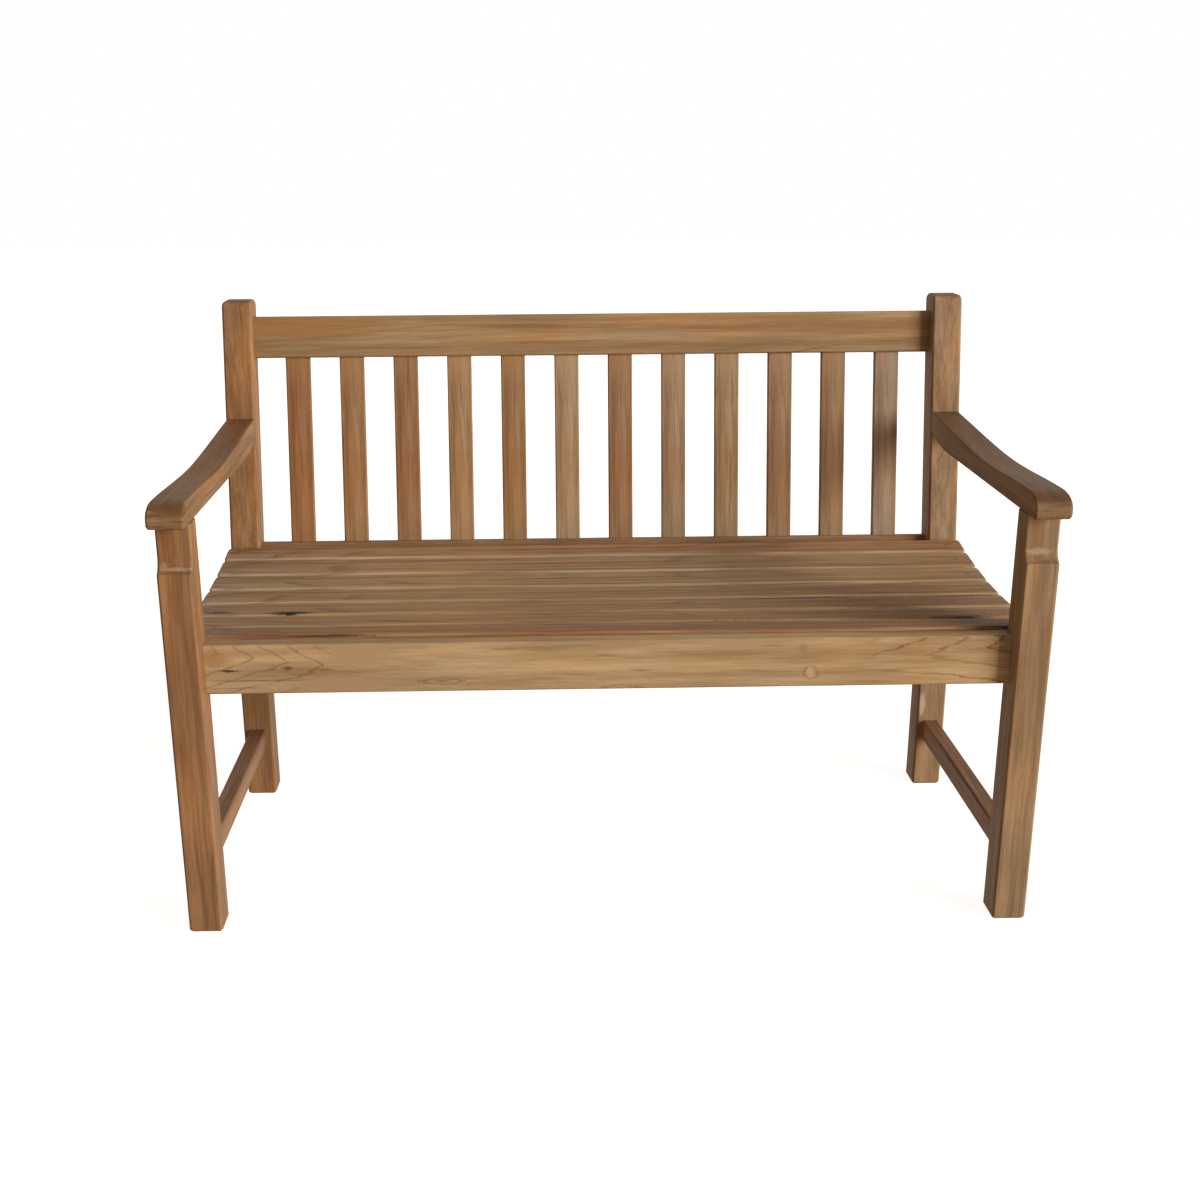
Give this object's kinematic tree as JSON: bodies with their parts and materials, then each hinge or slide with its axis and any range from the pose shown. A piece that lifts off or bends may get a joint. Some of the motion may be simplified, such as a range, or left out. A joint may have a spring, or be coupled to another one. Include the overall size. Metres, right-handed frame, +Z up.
{
  "type": "slatted garden bench",
  "caption": "Teak garden bench with arms: upright back slats between two rails, dished seat of long slats, scooped armrests on square legs, side stretchers.",
  "frame": {"origin": "on the floor, under the middle of the whole bench in plan", "axes": "+X along the seat towards the right arm as seen from the front, +Y from the front to the back, +Z up"},
  "size_m": [1.276, 0.6448, 0.88],
  "materials": {
    "teak": "oiled teak, planed and sanded, lightly weathered on the upper faces",
    "stainless_screw": "plain stainless steel"
  },
  "bodies": {
    "root": {"apron_pegs": "teak", "back_rail_pegs": "teak", "back_slat_01": "teak", "back_slat_02": "teak", "back_slat_03": "teak", "back_slat_04": "teak", "back_slat_05": "teak", "back_slat_06": "teak", "back_slat_07": "teak", "back_slat_08": "teak", "back_slat_09": "teak", "back_slat_10": "teak", "back_slat_11": "teak", "back_slat_12": "teak", "centre_seat_bearer": "teak", "front_apron": "teak", "left_armrest": "teak", "left_back_post": "teak", "left_front_leg": "teak", "left_seat_rail": "teak", "left_side_pegs": "teak", "left_side_stretcher": "teak", "lower_back_rail": "teak", "right_armrest": "teak", "right_back_post": "teak", "right_front_leg": "teak", "right_seat_rail": "teak", "right_side_pegs": "teak", "right_side_stretcher": "teak", "seat_plugs": "teak", "seat_screws": "stainless_screw", "seat_slat_01": "teak", "seat_slat_02": "teak", "seat_slat_03": "teak", "seat_slat_04": "teak", "seat_slat_05": "teak", "seat_slat_06": "teak", "seat_slat_07": "teak", "top_rail": "teak"}
  },
  "joints": []
}
